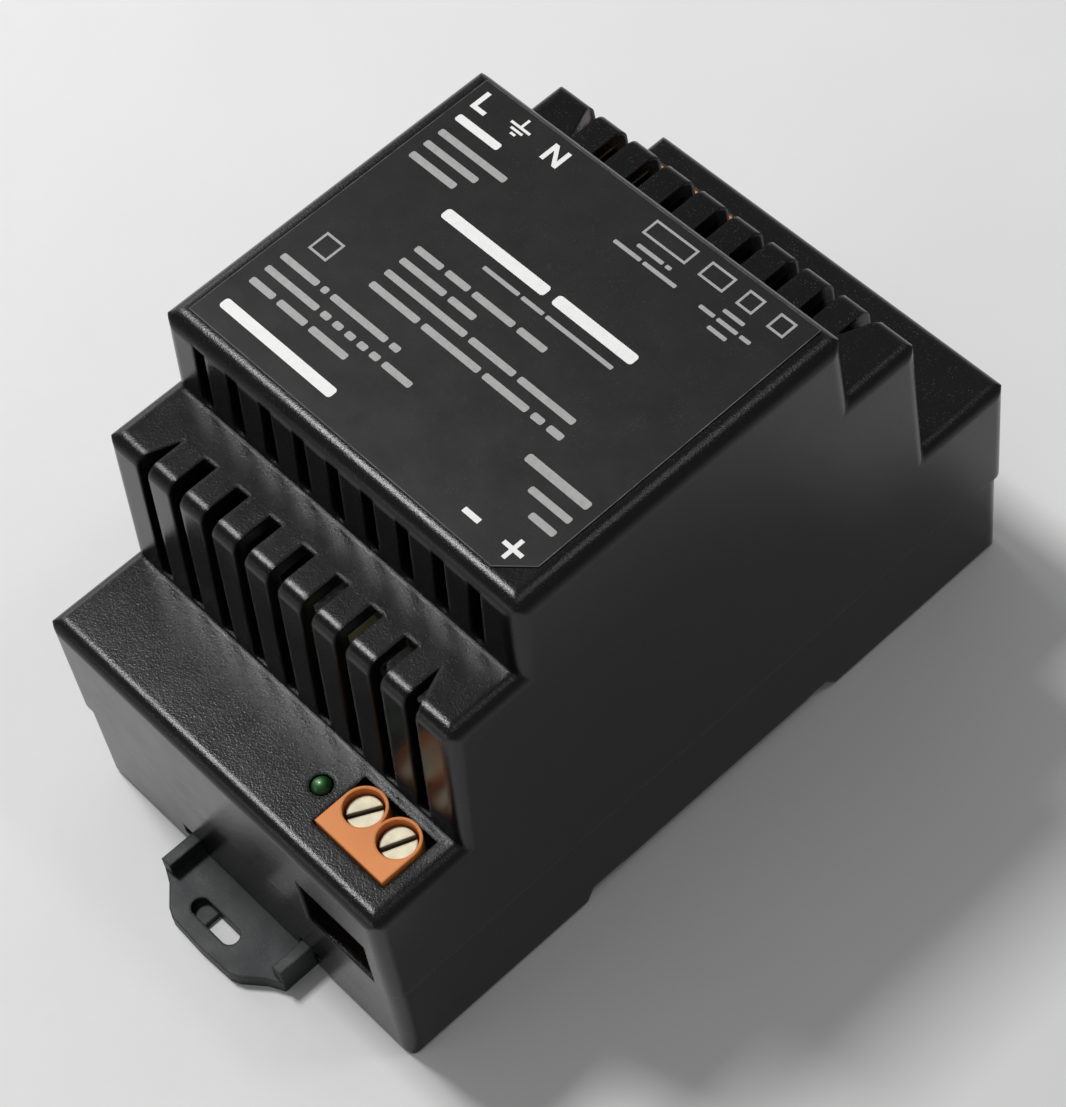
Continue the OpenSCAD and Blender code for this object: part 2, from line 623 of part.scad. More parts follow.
// Turns of wire round the ring core, left open between the two ends
module inductor_winding() {
    color([0.72, 0.4, 0.2]) translate([ring_x, ring_y, pcb]) for (a = [0 : 24 : 312]) rotate([0, 0, a]) difference() {
        translate([1.9, -0.45, 0]) cube([5.2, 0.9, 8.4]);
        translate([2.8, -1, 1]) cube([3.35, 2, 6.4]);
    }
}

housing_cover();
housing_base();
front_label();
din_clip();
clip_spring();
terminal_body(out_poles, -1);  // output_terminal_body
terminal_screw(out_poles[0], -1, 61);  // output_screw_minus
terminal_screw(out_poles[1], -1, 67);  // output_screw_plus
terminal_cage(out_poles[0], -1);  // output_cage_minus
terminal_cage(out_poles[1], -1);  // output_cage_plus
terminal_body(in_poles, 1);  // input_terminal_body
terminal_screw(in_poles[0], 1, 20);  // input_screw_line
terminal_screw(in_poles[1], 1, 75);  // input_screw_earth
terminal_screw(in_poles[2], 1, -35);  // input_screw_neutral
terminal_cage(in_poles[0], 1);  // input_cage_line
terminal_cage(in_poles[1], 1);  // input_cage_earth
terminal_cage(in_poles[2], 1);  // input_cage_neutral
terminal_contacts(out_poles, -1);  // output_contacts
terminal_contacts(in_poles, 1);  // input_contacts
status_led();
led_spacer();
main_board();
insulation_sheet();
board_screws();
transformer_core();
transformer_bobbin();
transformer_winding();
bulk_capacitor();
output_capacitor_a();
output_capacitor_b();
film_capacitor();
primary_heatsink();
switching_transistor();
secondary_heatsink();
output_diode();
heatsink_screws();
choke_core();
choke_windings();
x_capacitor();
y_capacitor();
input_fuse();
varistor();
bridge_rectifier();
control_ic();
optocoupler();
inductor_core();
inductor_winding();
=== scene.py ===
import json
import math

import bpy
import bmesh
from mathutils import Vector, Matrix


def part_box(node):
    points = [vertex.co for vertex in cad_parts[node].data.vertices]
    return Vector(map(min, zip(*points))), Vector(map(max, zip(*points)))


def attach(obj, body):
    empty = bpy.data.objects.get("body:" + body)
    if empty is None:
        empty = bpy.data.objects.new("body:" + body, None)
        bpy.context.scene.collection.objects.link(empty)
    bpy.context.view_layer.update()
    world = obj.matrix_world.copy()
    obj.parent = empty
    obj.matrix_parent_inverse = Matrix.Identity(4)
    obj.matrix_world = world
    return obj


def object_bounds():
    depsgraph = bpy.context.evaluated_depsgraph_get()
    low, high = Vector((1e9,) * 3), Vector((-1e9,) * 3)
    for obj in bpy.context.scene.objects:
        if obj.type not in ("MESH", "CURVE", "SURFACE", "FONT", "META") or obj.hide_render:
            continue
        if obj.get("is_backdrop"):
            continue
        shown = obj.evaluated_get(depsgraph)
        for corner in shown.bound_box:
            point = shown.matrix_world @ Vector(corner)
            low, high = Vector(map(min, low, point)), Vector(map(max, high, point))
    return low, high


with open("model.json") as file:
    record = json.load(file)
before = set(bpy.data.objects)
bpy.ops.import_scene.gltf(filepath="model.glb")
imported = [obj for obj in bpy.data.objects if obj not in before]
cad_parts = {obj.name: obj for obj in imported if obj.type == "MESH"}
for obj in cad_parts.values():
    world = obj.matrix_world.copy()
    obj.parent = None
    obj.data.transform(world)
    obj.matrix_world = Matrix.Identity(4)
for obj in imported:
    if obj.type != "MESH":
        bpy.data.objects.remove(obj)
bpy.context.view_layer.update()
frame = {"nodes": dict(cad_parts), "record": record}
N = frame["nodes"]
MM = 0.001


# ------------------------------------------------------------------ materials
class Mat:
    """A small builder for one procedural material, in object coordinates (metres)."""

    def __init__(self, name):
        self.m = bpy.data.materials.new(name)
        self.m.use_nodes = True
        self.t = self.m.node_tree
        self.t.nodes.clear()
        self.out = self.t.nodes.new("ShaderNodeOutputMaterial")
        self.b = self.t.nodes.new("ShaderNodeBsdfPrincipled")
        self.t.links.new(self.b.outputs[0], self.out.inputs[0])
        self.tc = self.t.nodes.new("ShaderNodeTexCoord")
        self.co = self.tc.outputs["Object"]

    def link(self, a, b):
        self.t.links.new(a, b)
        return self

    def put(self, **k):
        for name, v in k.items():
            self.b.inputs[name.replace("_", " ")].default_value = v
        return self

    def mapping(self, scale=(1, 1, 1), rot=(0, 0, 0), loc=(0, 0, 0)):
        n = self.t.nodes.new("ShaderNodeMapping")
        n.inputs["Scale"].default_value = scale
        n.inputs["Rotation"].default_value = rot
        n.inputs["Location"].default_value = loc
        self.link(self.co, n.inputs["Vector"])
        return n.outputs[0]

    def noise(self, scale, detail=2.0, rough=0.5, co=None, dist=0.0):
        n = self.t.nodes.new("ShaderNodeTexNoise")
        n.inputs["Scale"].default_value = scale
        n.inputs["Detail"].default_value = detail
        n.inputs["Roughness"].default_value = rough
        n.inputs["Distortion"].default_value = dist
        self.link(co or self.co, n.inputs["Vector"])
        return n.outputs["Fac"]

    def cells(self, scale, feature="F1", co=None, random=1.0):
        n = self.t.nodes.new("ShaderNodeTexVoronoi")
        n.feature = feature
        n.inputs["Scale"].default_value = scale
        n.inputs["Randomness"].default_value = random
        self.link(co or self.co, n.inputs["Vector"])
        return n.outputs["Distance"]

    def wave(self, scale, axis="Z", co=None, dist=0.0, profile="SIN", kind="BANDS"):
        n = self.t.nodes.new("ShaderNodeTexWave")
        n.wave_type = kind
        if kind == "BANDS":
            n.bands_direction = axis
        else:
            n.rings_direction = axis
        n.wave_profile = profile
        n.inputs["Scale"].default_value = scale
        n.inputs["Distortion"].default_value = dist
        n.inputs["Detail"].default_value = 0.0
        self.link(co or self.co, n.inputs["Vector"])
        return n.outputs["Fac"]

    def xyz(self):
        n = self.t.nodes.new("ShaderNodeSeparateXYZ")
        self.link(self.co, n.inputs[0])
        return n.outputs

    def math(self, op, a, b=None, c=None, clamp=False):
        n = self.t.nodes.new("ShaderNodeMath")
        n.operation = op
        n.use_clamp = clamp
        for i, v in enumerate((a, b, c)):
            if v is None:
                continue
            if isinstance(v, (int, float)):
                n.inputs[i].default_value = v
            else:
                self.link(v, n.inputs[i])
        return n.outputs[0]

    def ramp(self, fac, stops, interp="LINEAR"):
        n = self.t.nodes.new("ShaderNodeValToRGB")
        r = n.color_ramp
        r.interpolation = interp
        while len(r.elements) > 1:
            r.elements.remove(r.elements[-1])
        for i, (p, c) in enumerate(stops):
            e = r.elements[0] if i == 0 else r.elements.new(p)
            e.position = p
            e.color = (c[0], c[1], c[2], 1)
        self.link(fac, n.inputs[0])
        return n.outputs[0]

    def rng(self, v, a, b, c, d):
        n = self.t.nodes.new("ShaderNodeMapRange")
        for i, x in enumerate((a, b, c, d)):
            n.inputs[i + 1].default_value = x
        self.link(v, n.inputs[0])
        return n.outputs[0]

    def mix(self, fac, a, b):
        n = self.t.nodes.new("ShaderNodeMix")
        n.data_type = "RGBA"
        if isinstance(fac, (int, float)):
            n.inputs["Factor"].default_value = fac
        else:
            self.link(fac, n.inputs["Factor"])
        for sock, v in ((6, a), (7, b)):
            if isinstance(v, tuple):
                n.inputs[sock].default_value = (v[0], v[1], v[2], 1)
            else:
                self.link(v, n.inputs[sock])
        return n.outputs[2]

    def rounded(self, radius):
        n = self.t.nodes.new("ShaderNodeBevel")
        n.samples = 4
        n.inputs["Radius"].default_value = radius
        return n.outputs[0]

    def bump(self, height, dist, strength=1.0, normal=None):
        n = self.t.nodes.new("ShaderNodeBump")
        n.inputs["Strength"].default_value = strength
        n.inputs["Distance"].default_value = dist
        self.link(height, n.inputs["Height"])
        if normal is not None:
            self.link(normal, n.inputs["Normal"])
        return n.outputs[0]

    def color(self, s):
        return self.link(s, self.b.inputs["Base Color"])

    def rough(self, s):
        return self.link(s, self.b.inputs["Roughness"])

    def metal(self, s):
        return self.link(s, self.b.inputs["Metallic"])

    def normal(self, s):
        return self.link(s, self.b.inputs["Normal"])


def moulded(name, dark, light, rough=(0.34, 0.5), grain=5200, depth=1.1e-5, pebble=1500,
            pebble_depth=1.3e-5, edge=0.00022, dust=None, spec=0.5, scuff=0.0, low_ledge_pale_tone=None):
    """Satin moulded plastic: spark-eroded grain, slow tone changes, pale dust on faces that look up."""
    q = Mat(name)
    tone = q.noise(90, 4, 0.6)
    col = q.ramp(tone, [(0.3, dark), (0.7, light)])
    if dust is not None:
        speck = q.cells(3300)
        patch = q.noise(500, 3, 0.6)
        up = q.t.nodes.new("ShaderNodeSeparateXYZ")
        q.link(q.tc.outputs["Normal"], up.inputs[0])
        up = q.rng(up.outputs[2], 0.6, 0.95, 0.0, 1.0)
        f = q.math("MULTIPLY", q.rng(speck, 0.12, 0.29, 1.0, 0.0), q.rng(patch, 0.46, 0.64, 0.15, 1.0))
        if low_ledge_pale_tone is not None:
            # up-facing faces made paler towards the bottom: evenly on the lowest ledges, patchy higher up
            low = q.rng(q.xyz()[2], 0.034, 0.028, 0.0, 0.14)
            low = q.math("MULTIPLY", low, q.rng(q.noise(130, 3, 0.6), 0.35, 0.65, 0.55, 1.0))
            col = q.mix(q.math("MULTIPLY", low, up), col, low_ledge_pale_tone)
        f = q.math("MULTIPLY", f, up)
        col = q.mix(f, col, dust)
    q.color(col)
    r = q.rng(q.noise(240, 3, 0.6), 0.3, 0.7, rough[0], rough[1])
    if scuff:
        streak = q.noise(1.0, 3, 0.6, co=q.mapping(scale=(60, 700, 200), rot=(0, 0, 0.6)))
        r = q.math("ADD", r, q.rng(streak, 0.6, 0.75, 0.0, scuff), clamp=True)
    q.rough(r)
    q.put(Specular_IOR_Level=spec)
    n0 = q.rounded(edge) if edge else None
    n1 = q.bump(q.noise(pebble, 2, 0.5), pebble_depth, 1.0, n0)
    n2 = q.bump(q.noise(grain, 2, 0.55), depth, 1.0, n1)
    q.normal(n2)
    return q


def metal(name, col, rough=(0.22, 0.4), brush=(400, 400, 9000), depth=4e-6, edge=0.00015, tarnish=None):
    q = Mat(name)
    tone = q.noise(700, 3, 0.6)
    a = tuple(c * 0.82 for c in col)
    base = q.ramp(tone, [(0.3, a), (0.7, col)])
    if tarnish is not None:
        base = q.mix(q.rng(q.noise(1500, 4, 0.65), 0.5, 0.68, 0.0, 0.75), base, tarnish)
    q.color(base)
    q.put(Metallic=1.0)
    q.rough(q.rng(q.noise(1800, 3, 0.6), 0.3, 0.7, rough[0], rough[1]))
    n0 = q.rounded(edge) if edge else None
    q.normal(q.bump(q.noise(1.0, 3, 0.6, co=q.mapping(scale=brush)), depth, 1.0, n0))
    return q


M = {}
q = moulded("housing_satin_black", (0.0042, 0.0042, 0.0044), (0.0056, 0.0056, 0.0058), rough=(0.19, 0.24),
            grain=4600, depth=1.9e-5, pebble=1900, pebble_depth=0.8e-5, edge=0.0006, dust=(0.060, 0.060, 0.062),
            spec=0.29, scuff=0.03, low_ledge_pale_tone=(0.021, 0.021, 0.0215))
M["housing_plastic"] = q.m

q = moulded("label_film_matt", (0.0105, 0.0105, 0.0107), (0.0125, 0.0125, 0.0127), rough=(0.27, 0.32),
            grain=7000, depth=2.5e-6, pebble=900, pebble_depth=2e-6, edge=None, dust=(0.035, 0.035, 0.035), spec=0.42)
M["label_film"] = q.m

q = moulded("latch_grey_nylon", (0.018, 0.0195, 0.021), (0.024, 0.026, 0.028), rough=(0.46, 0.56),
            grain=3800, depth=1.2e-5, pebble=1200, pebble_depth=1.6e-5, edge=0.0004, dust=(0.07, 0.07, 0.07), spec=0.35)
M["latch_plastic"] = q.m

q = moulded("terminal_orange", (0.80, 0.265, 0.068), (0.88, 0.31, 0.085), rough=(0.36, 0.46),
            grain=4200, depth=4e-6, pebble=1100, pebble_depth=6e-6, edge=0.00035, spec=0.3)
q.put(Subsurface_Weight=0.08, Subsurface_Scale=0.0006)
# painted shade: below about 21-23 mm height the orange turns dark brown, standing in for the shade deep inside the
# housing
painted_shade_low = q.rng(q.xyz()[2], 0.0205, 0.0235, 0.92, 0.0)
q.color(q.mix(painted_shade_low, q.b.inputs["Base Color"].links[0].from_socket, (0.035, 0.016, 0.008)))
M["terminal_plastic"] = q.m

# screw heads: bright plated brass, with painted shade low in the slot
q = Mat("screw_plated_brass")
zc = q.xyz()[2]
z_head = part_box("output_screw_plus")[1].z
# painted shade: below the head top the brass turns dark and rougher, standing in for shade down in the slot
low = q.rng(zc, z_head - 0.0006, z_head - 0.00025, 1.0, 0.0)
q.color(q.mix(q.math("MULTIPLY", low, 0.9), q.ramp(q.noise(420, 3, 0.6), [(0.3, (0.50, 0.46, 0.33)), (0.7, (0.64, 0.60, 0.46))]), (0.06, 0.05, 0.03)))
q.put(Metallic=0.45)
q.rough(q.math("ADD", q.rng(q.noise(900, 3, 0.6), 0.3, 0.7, 0.42, 0.54), q.math("MULTIPLY", low, 0.25)))
q.normal(q.bump(q.noise(1.0, 3, 0.6, co=q.mapping(scale=(3000, 500, 500), rot=(0, 0, 0.9))), 4e-6, 1.0, q.rounded(0.00022)))
M["screw_brass"] = q.m
M["tinned_copper"] = metal("tinned_copper", (0.80, 0.78, 0.73), rough=(0.28, 0.45), tarnish=(0.55, 0.48, 0.38)).m
M["plated_steel"] = metal("zinc_plated_steel", (0.72, 0.73, 0.75), rough=(0.25, 0.42)).m
M["spring_steel"] = metal("spring_steel", (0.55, 0.55, 0.56), rough=(0.2, 0.34), brush=(5000, 500, 500)).m
M["bare_aluminium"] = metal("rolled_aluminium", (0.80, 0.81, 0.82), rough=(0.28, 0.45), brush=(300, 300, 8000)).m

# lamp: tinted diffusing lens, with a painted highlight as a paler core
q = Mat("lamp_lens_green")
lens_lo, lens_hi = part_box("status_led")
x, y, z = q.xyz()
dx = q.math("SUBTRACT", x, (lens_lo.x + lens_hi.x) / 2 - 0.00015)
dy = q.math("SUBTRACT", y, (lens_lo.y + lens_hi.y) / 2 - 0.0001)
rad = q.math("SQRT", q.math("ADD", q.math("MULTIPLY", dx, dx), q.math("MULTIPLY", dy, dy)))
# painted highlight: the colour pales towards a small core near the lens centre
painted_core_highlight = q.rng(rad, 0.00005, 0.00085, 1.0, 0.0)
painted_core_highlight = q.math("MULTIPLY", painted_core_highlight, q.rng(q.noise(1500, 2), 0.3, 0.7, 0.85, 1.0))
q.color(q.ramp(painted_core_highlight, [(0.0, (0.008, 0.055, 0.012)), (0.45, (0.03, 0.15, 0.035)), (1.0, (0.26, 0.42, 0.20))]))
q.rough(q.rng(q.noise(2500, 2, 0.5), 0.3, 0.7, 0.26, 0.34))
q.put(Transmission_Weight=0.12, IOR=1.5)
q.normal(q.bump(q.noise(1800, 2, 0.5), 4e-6))
M["lamp_green"] = q.m

q = moulded("black_nylon", (0.010, 0.010, 0.010), (0.018, 0.018, 0.018), rough=(0.45, 0.6), edge=None)
M["black_nylon"] = q.m

# board: resin with a glass weave under it and a faint copper pattern
q = Mat("board_laminate")
w1 = q.wave(330, "X")
w2 = q.wave(330, "Y")
weave = q.math("MULTIPLY", w1, w2)
track = q.rng(q.cells(150, "DISTANCE_TO_EDGE"), 0.035, 0.05, 1.0, 0.0)
col = q.ramp(weave, [(0.0, (0.030, 0.085, 0.026)), (1.0, (0.050, 0.125, 0.038))])
q.color(q.mix(q.math("MULTIPLY", track, 0.55), col, (0.11, 0.20, 0.06)))
q.rough(q.rng(q.noise(800, 3, 0.6), 0.3, 0.7, 0.28, 0.45))
q.normal(q.bump(track, 2.5e-5, 0.7, q.bump(weave, 8e-6)))
M["board_laminate"] = q.m

q = Mat("clear_sheet")
q.color(q.ramp(q.noise(300, 2), [(0.3, (0.75, 0.74, 0.68)), (0.7, (0.85, 0.84, 0.80))]))
q.rough(q.rng(q.noise(900, 3), 0.3, 0.7, 0.12, 0.25))
q.put(Transmission_Weight=0.85, IOR=1.5)
q.normal(q.bump(q.noise(600, 2), 1e-5))
M["clear_sheet"] = q.m

q = Mat("ferrite")
q.color(q.ramp(q.noise(1400, 4, 0.7), [(0.3, (0.022, 0.022, 0.024)), (0.7, (0.055, 0.055, 0.058))]))
q.rough(q.rng(q.noise(2500, 3), 0.3, 0.7, 0.45, 0.7))
pits = q.rng(q.cells(2200), 0.0, 0.3, 0.0, 1.0)
q.normal(q.bump(pits, 1.5e-5, 0.8, q.rounded(0.0002)))
M["ferrite"] = q.m

# winding tape: overlapped yellow film with lap lines
q = Mat("winding_tape")
lap = q.wave(95, "Z", dist=1.2, profile="SAW")
q.color(q.mix(q.rng(lap, 0.9, 1.0, 0.0, 0.6), q.ramp(q.noise(500, 3), [(0.3, (0.52, 0.36, 0.08)), (0.7, (0.66, 0.49, 0.13))]), (0.30, 0.19, 0.04)))
q.rough(q.rng(q.noise(900, 2), 0.3, 0.7, 0.2, 0.38))
q.normal(q.bump(lap, 4e-5))
M["winding_tape"] = q.m

# capacitor: dark sleeve, bare rolled can on top with the shrunk rim of the sleeve
def capacitor(name, lo, hi, sleeve_a, sleeve_b, stripe):
    q = Mat(name)
    x, y, z = q.xyz()
    cx, cy = (lo.x + hi.x) / 2, (lo.y + hi.y) / 2
    r = min(hi.x - lo.x, hi.y - lo.y) / 2
    dx = q.math("SUBTRACT", x, cx)
    dy = q.math("SUBTRACT", y, cy)
    rad = q.math("SQRT", q.math("ADD", q.math("MULTIPLY", dx, dx), q.math("MULTIPLY", dy, dy)))
    top = q.math("MULTIPLY", q.rng(z, hi.z - 0.0011, hi.z - 0.0009, 0.0, 1.0), q.rng(rad, r * 0.82, r * 0.85, 1.0, 0.0))
    ang = q.math("ARCTAN2", dy, dx)
    band = q.math("MULTIPLY", q.rng(ang, -2.3, -2.25, 0.0, 1.0), q.rng(ang, -1.65, -1.6, 1.0, 0.0))
    dash = q.rng(q.wave(38, "Z"), 0.25, 0.35, 0.0, 1.0)
    base = q.ramp(q.noise(500, 3), [(0.3, sleeve_a), (0.7, sleeve_b)])
    base = q.mix(q.math("MULTIPLY", band, dash), base, stripe)
    can = q.ramp(q.noise(1500, 3), [(0.3, (0.78, 0.79, 0.80)), (0.7, (0.92, 0.92, 0.93))])
    q.color(q.mix(top, base, can))
    q.metal(q.math("MULTIPLY", top, 0.35))
    q.rough(q.math("ADD", q.rng(top, 0, 1, 0.30, 0.22), q.rng(q.noise(1500, 3), 0.3, 0.7, 0.0, 0.12)))
    score = q.math("MINIMUM", q.math("ABSOLUTE", dx), q.math("ABSOLUTE", dy))
    vent = q.math("MULTIPLY", q.rng(score, 0.00008, 0.00026, 0.0, 1.0), 1.0)
    fold = q.noise(1.0, 2, 0.5, co=q.mapping(scale=(500, 500, 3000)))
    q.normal(q.bump(vent, 6e-5, 0.8, q.bump(fold, 8e-6, 1.0, q.rounded(0.0003))))
    return q.m


for node, sa, sb, st in (
    ("bulk_capacitor", (0.006, 0.008, 0.016), (0.010, 0.013, 0.024), (0.55, 0.57, 0.60)),
    ("output_capacitor_a", (0.010, 0.008, 0.022), (0.016, 0.013, 0.034), (0.62, 0.60, 0.45)),
    ("output_capacitor_b", (0.008, 0.008, 0.009), (0.014, 0.014, 0.016), (0.60, 0.52, 0.25)),
):
    lo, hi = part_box(node)
    M["cap:" + node] = capacitor("sleeve_" + node, lo, hi, sa, sb, st)

def cased(name, a, b, rough=(0.25, 0.4), mark=None):
    q = Mat(name)
    base = q.ramp(q.noise(420, 3), [(0.3, a), (0.7, b)])
    q.color(base)
    q.rough(q.rng(q.noise(1500, 3), 0.3, 0.7, rough[0], rough[1]))
    q.normal(q.bump(q.noise(2600, 2), 9e-6, 1.0, q.bump(q.noise(500, 2), 2.5e-5, 1.0, q.rounded(0.0003))))
    return q.m


M["film_box"] = cased("film_box_pale_yellow", (0.70, 0.64, 0.32), (0.82, 0.76, 0.42))
M["film_box_yellow"] = cased("film_box_yellow", (0.62, 0.40, 0.05), (0.74, 0.50, 0.08))
M["component_epoxy"] = cased("moulded_epoxy", (0.014, 0.014, 0.015), (0.026, 0.026, 0.027), (0.42, 0.6))
M["disc_ceramic_blue"] = cased("dipped_ceramic_blue", (0.03, 0.09, 0.30), (0.05, 0.13, 0.38), (0.2, 0.34))
M["ring_core"] = cased("painted_ring_core", (0.50, 0.42, 0.08), (0.62, 0.54, 0.13), (0.3, 0.45))

# enamelled copper: single turns show as fine ridges
q = Mat("enamelled_copper")
turns = q.wave(420, "Z")
q.color(q.mix(q.rng(turns, 0.0, 0.35, 0.7, 0.0), q.ramp(q.noise(900, 3), [(0.3, (0.45, 0.16, 0.05)), (0.7, (0.62, 0.25, 0.09))]), (0.10, 0.03, 0.01)))
q.put(Metallic=0.75)
q.rough(q.rng(q.noise(1800, 2), 0.3, 0.7, 0.22, 0.36))
q.normal(q.bump(turns, 1.3e-4))
M["copper_wire"] = q.m

SLOT = {s["node"]: s["material_slot"] for s in frame["record"].get("subparts", [])}
for name, obj in N.items():
    mat = M.get("cap:" + name) or M[SLOT[name]]
    obj.data.materials.clear()
    obj.data.materials.append(mat)


# ------------------------------------------------------------------ printed marks on the label
def poly_object(name, polys, z0, z1, mat, body):
    """Thin raised print: each outline becomes a closed plate from z0 to z1 (mm)."""
    bm = bmesh.new()
    for pts in polys:
        lo = [bm.verts.new((x * MM, y * MM, z0 * MM)) for x, y in pts]
        hi = [bm.verts.new((x * MM, y * MM, z1 * MM)) for x, y in pts]
        bm.faces.new(hi)
        bm.faces.new(lo[::-1])
        n = len(pts)
        for i in range(n):
            j = (i + 1) % n
            bm.faces.new((lo[i], lo[j], hi[j], hi[i]))
    bmesh.ops.recalc_face_normals(bm, faces=bm.faces)
    me = bpy.data.meshes.new(name)
    bm.to_mesh(me)
    bm.free()
    me.materials.append(mat)
    o = bpy.data.objects.new(name, me)
    bpy.context.scene.collection.objects.link(o)
    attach(o, body)
    return o


def rect(x0, y0, x1, y1):
    return [(x0, y0), (x1, y0), (x1, y1), (x0, y1)]


def pill(x0, y0, x1, y1, k=4):
    """Rectangle with rounded corners."""
    r = min(x1 - x0, y1 - y0) * 0.3
    out = []
    for cx, cy, a0 in ((x1 - r, y0 + r, -90), (x1 - r, y1 - r, 0), (x0 + r, y1 - r, 90), (x0 + r, y0 + r, 180)):
        for i in range(k + 1):
            a = math.radians(a0 + 90 * i / k)
            out.append((cx + r * math.cos(a), cy + r * math.sin(a)))
    return out


def words(x0, y0, x1, y1, shares, fill=0.62):
    """A line of print as plain bars, one per word, its length split in the given shares."""
    h = (y1 - y0)
    yy0, yy1 = y0 + h * (1 - fill) / 2, y1 - h * (1 - fill) / 2
    gap = h * 0.5
    total = (x1 - x0) - gap * (len(shares) - 1)
    out, x = [], x0
    for s in shares:
        w = total * s / sum(shares)
        out.append(pill(x, yy0, x + w, yy1))
        x += w + gap
    return out


q = Mat("label_print_white")
q.color(q.ramp(q.noise(1500, 4, 0.7), [(0.25, (0.86, 0.86, 0.85)), (0.6, (0.93, 0.93, 0.92))]))
q.rough(q.rng(q.noise(2500, 2), 0.3, 0.7, 0.4, 0.55))
q.normal(q.bump(q.noise(5000, 2), 4e-6))
PRINT = q.m
q = Mat("label_print_grey")
q.color(q.ramp(q.noise(1500, 4, 0.7), [(0.25, (0.33, 0.33, 0.33)), (0.6, (0.41, 0.41, 0.405))]))
q.rough(q.rng(q.noise(2500, 2), 0.3, 0.7, 0.4, 0.55))
q.normal(q.bump(q.noise(5000, 2), 4e-6))
PRINT_THIN = q.m

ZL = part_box("front_label")[1].z / MM
t = 0.5
marks = [
    # line
    [(-22.6, 16.95), (-20.55, 16.95), (-20.55, 17.5), (-22.0, 17.5), (-22.0, 19.5), (-22.6, 19.5)],
    # neutral
    [(-12.3, 17.1), (-11.75, 17.1), (-11.75, 18.72), (-10.5, 17.1), (-9.95, 17.1), (-9.95, 19.5), (-10.5, 19.5),
     (-10.5, 17.88), (-11.75, 19.5), (-12.3, 19.5)],
    # minus, plus
    rect(13.95, -17.3, 16.15, -16.65),
    [(20.45, -18.2), (20.95, -18.2), (20.95, -17.15), (22.0, -17.15), (22.0, -16.65), (20.95, -16.65), (20.95, -15.6),
     (20.45, -15.6), (20.45, -16.65), (19.4, -16.65), (19.4, -17.15), (20.45, -17.15)],
]
marks += [rect(-16.66, 18.62, -16.34, 19.75), rect(-17.9, 18.3, -15.1, 18.62), rect(-17.35, 17.74, -15.65, 18.04),
          rect(-16.85, 17.2, -16.15, 17.5)]
poly_object("label_terminal_marks", marks, ZL - 0.01, ZL + 0.02, PRINT, "housing")

def frame_box(x0, y0, x1, y1, w=0.28):
    """Thin plain outline, as four bars."""
    return [rect(x0, y0, x1, y0 + w), rect(x0, y1 - w, x1, y1), rect(x0, y0 + w, x0 + w, y1 - w), rect(x1 - w, y0 + w, x1, y1 - w)]


heavy = []
heavy += words(-22.5, 14.45, -16.15, 15.9, [1], 0.66)
heavy += words(-14.1, 4.7, 13.4, 7.0, [15.4, 11.5], 0.6)
heavy += words(-22.0, -17.75, -5.2, -15.6, [1], 0.6)
poly_object("label_bars_heavy", heavy, ZL - 0.01, ZL + 0.02, PRINT, "housing")
boxes = frame_box(2.4, 17.3, 8.4, 19.5) + frame_box(10.2, 17.3, 13.6, 19.5) + frame_box(15.4, 17.3, 17.6, 19.5) + frame_box(19.6, 17.3, 21.8, 19.5)
boxes += frame_box(-20.9, -6.5, -18.2, -3.8)
poly_object("label_boxes", boxes, ZL - 0.01, ZL + 0.02, PRINT_THIN, "housing")

light = []
light += words(-22.4, 12.0, -12.5, 13.35, [10])
light += words(-22.4, 10.0, -14.6, 11.35, [8])
light += words(-22.4, 8.0, -15.7, 9.4, [7])
light += words(-6.0, 3.35, 12.4, 4.15, [5, 3, 9])
light += words(-12.8, 0.2, 6.1, 1.5, [4, 3.4, 6, 4])
light += words(-12.8, -1.8, -1.9, -0.5, [6, 3.4])
light += words(-12.8, -3.8, 14.4, -2.5, [10, 5.4, 6.6])
light += words(-12.8, -5.85, 14.9, -4.5, [6.4, 7.4, 5.6, 1.4, 1.8])
light += words(-22.1, -9.5, -4.4, -8.2, [5.4, 0.8, 8, 1.2])
light += words(-22.1, -11.55, -0.4, -10.25, [6.6, 1, 1, 1, 1, 1, 3.4])
light += words(-22.1, -13.6, -7.6, -12.25, [3.4, 4, 5.2])
light += words(3.2, 15.6, 7.9, 16.35, [5, 1])
light += words(1.1, 14.4, 9.8, 15.15, [5, 6])
light += words(15.2, 15.6, 18.0, 16.35, [1])
light += words(13.1, 14.4, 20.0, 15.15, [3, 4, 2])
light += words(15.5, 13.15, 18.0, 13.9, [1])
light += words(13.9, -9.6, 22.5, -8.05, [1], 0.66)
light += words(16.8, -11.8, 22.4, -10.5, [1])
light += words(19.0, -13.8, 22.4, -12.5, [1])
poly_object("label_bars_fine", light, ZL - 0.01, ZL + 0.018, PRINT_THIN, "housing")

# thin cut edge of the label film, pale where the film is cut and painted paler still as an edge highlight
edge_pts = [(-23.9, -19.6), (20.6, -19.6), (23.9, -16.6), (23.9, 20.6), (-23.9, 20.6)]


def inset(pts, d):
    out = []
    n = len(pts)
    for i in range(n):
        p0, p1, p2 = Vector(pts[i - 1]), Vector(pts[i]), Vector(pts[(i + 1) % n])
        a = (p1 - p0).normalized()
        b = (p2 - p1).normalized()
        na, nb = Vector((-a.y, a.x)), Vector((-b.y, b.x))
        k = d / (1 + na.dot(nb))
        out.append(tuple(p1 + (na + nb) * k))
    return out


outer, inner = inset(edge_pts, 0.02), inset(edge_pts, 0.11)
rims = []
for i in range(len(outer)):
    j = (i + 1) % len(outer)
    rims.append([outer[i], outer[j], inner[j], inner[i]])
q = Mat("label_cut_edge_and_painted_highlight")
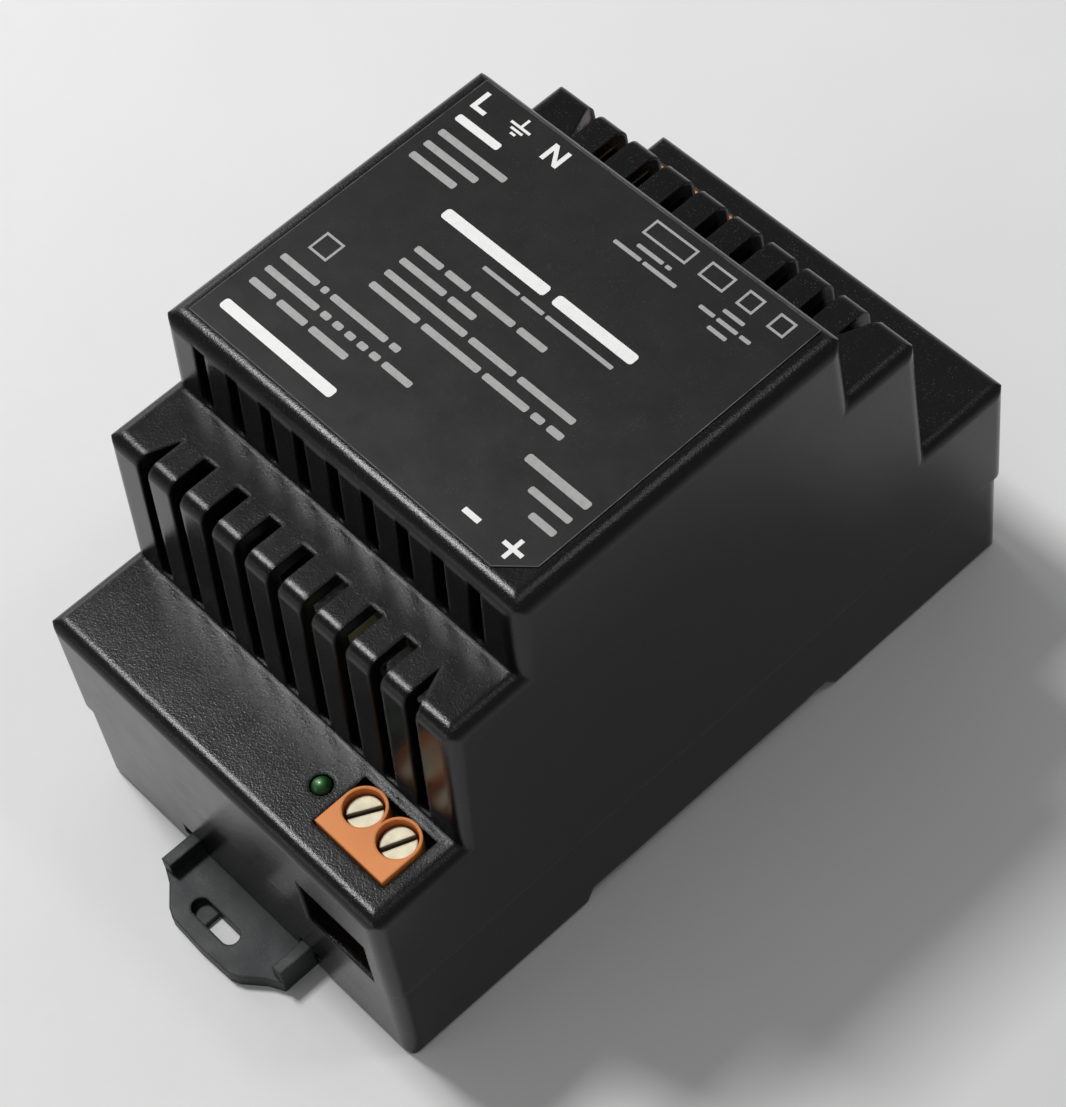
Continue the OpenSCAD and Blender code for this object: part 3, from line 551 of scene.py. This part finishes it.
# painted highlight: the rim is mottled paler than the film, partly the cut edge's own tone
q.color(q.ramp(q.noise(400, 4, 0.7), [(0.35, (0.03, 0.03, 0.03)), (0.62, (0.12, 0.12, 0.12))]))
q.rough(q.rng(q.noise(1800, 2), 0.3, 0.7, 0.3, 0.45))
q.normal(q.bump(q.noise(3000, 2), 1e-5))
poly_object("label_cut_edge_and_painted_highlight", rims, ZL - 0.01, ZL + 0.012, q.m, "housing")


# ------------------------------------------------------------------ floor, light, camera
bm = bmesh.new()
S = 3.0
vs = [bm.verts.new((x * S, y * S, -0.0024)) for x, y in ((-1, -1), (1, -1), (1, 1), (-1, 1))]
bm.faces.new(vs)
me = bpy.data.meshes.new("studio_floor")
bm.to_mesh(me)
bm.free()
floor = bpy.data.objects.new("studio_floor", me)
bpy.context.scene.collection.objects.link(floor)
q = Mat("studio_floor_paper")
q.color(q.ramp(q.noise(40, 3), [(0.3, (0.84, 0.84, 0.84)), (0.7, (0.86, 0.86, 0.86))]))
q.rough(q.rng(q.noise(500, 2), 0.3, 0.7, 0.7, 0.8))
q.normal(q.bump(q.noise(900, 2), 1e-5))
me.materials.append(q.m)
floor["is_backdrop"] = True

world = bpy.data.worlds.new("studio")
bpy.context.scene.world = world
world.use_nodes = True
wt = world.node_tree
wt.nodes.clear()
wo = wt.nodes.new("ShaderNodeOutputWorld")
bg = wt.nodes.new("ShaderNodeBackground")
bg.inputs["Color"].default_value = (1.0, 1.0, 1.0, 1)
bg.inputs["Strength"].default_value = 0.24
wt.links.new(bg.outputs[0], wo.inputs[0])


def area(name, direction, dist, size, power, colour=(1, 1, 1), aim=(0, 0, 0.02), size_y=None):
    d = Vector(direction).normalized()
    L = bpy.data.lights.new(name, "AREA")
    L.shape = "RECTANGLE"
    L.size = size
    L.size_y = size_y or size
    L.energy = power
    L.color = colour
    o = bpy.data.objects.new(name, L)
    o.location = Vector(aim) + d * dist
    o.rotation_mode = "QUATERNION"
    o.rotation_quaternion = (-d).to_track_quat("-Z", "Y")
    bpy.context.scene.collection.objects.link(o)
    return o


area("key_high_left", (-0.465, -0.07, 0.88), 0.80, 0.15, 3.6)
area("soft_left", (-0.90, 0.05, 0.42), 0.80, 0.40, 1.4)
area("front_low", (-0.30, -0.92, 0.22), 0.70, 0.30, 0.25, size_y=0.12)
area("high_right", (0.34, 0.33, 0.88), 0.80, 0.10, 0.35)

R = [[0.6767407556751652, 0.7289628185761231, -0.10312690600304328],
     [0.5705584026473615, -0.6078168141916886, -0.5522878140556404],
     [-0.4652795490634609, 0.3149157498751383, -0.827250271504266]]
CAM = (161.59732644902198, -110.15546154973698, 305.89235679852775)
cam = bpy.data.cameras.new("camera")
cam.sensor_fit = "AUTO"
cam.sensor_width = 36.0
cam.lens = 3238.2925 * 36.0 / 1107.0
cam.clip_start, cam.clip_end = 0.01, 20.0
co = bpy.data.objects.new("camera", cam)
bpy.context.scene.collection.objects.link(co)
mw = Matrix.Identity(4)
for i in range(3):
    mw[i][0], mw[i][1], mw[i][2] = R[0][i], -R[1][i], -R[2][i]
    mw[i][3] = CAM[i] * MM
co.matrix_world = mw
bpy.context.scene.camera = co
bpy.context.scene.view_settings.view_transform = "Standard"

lo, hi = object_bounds()
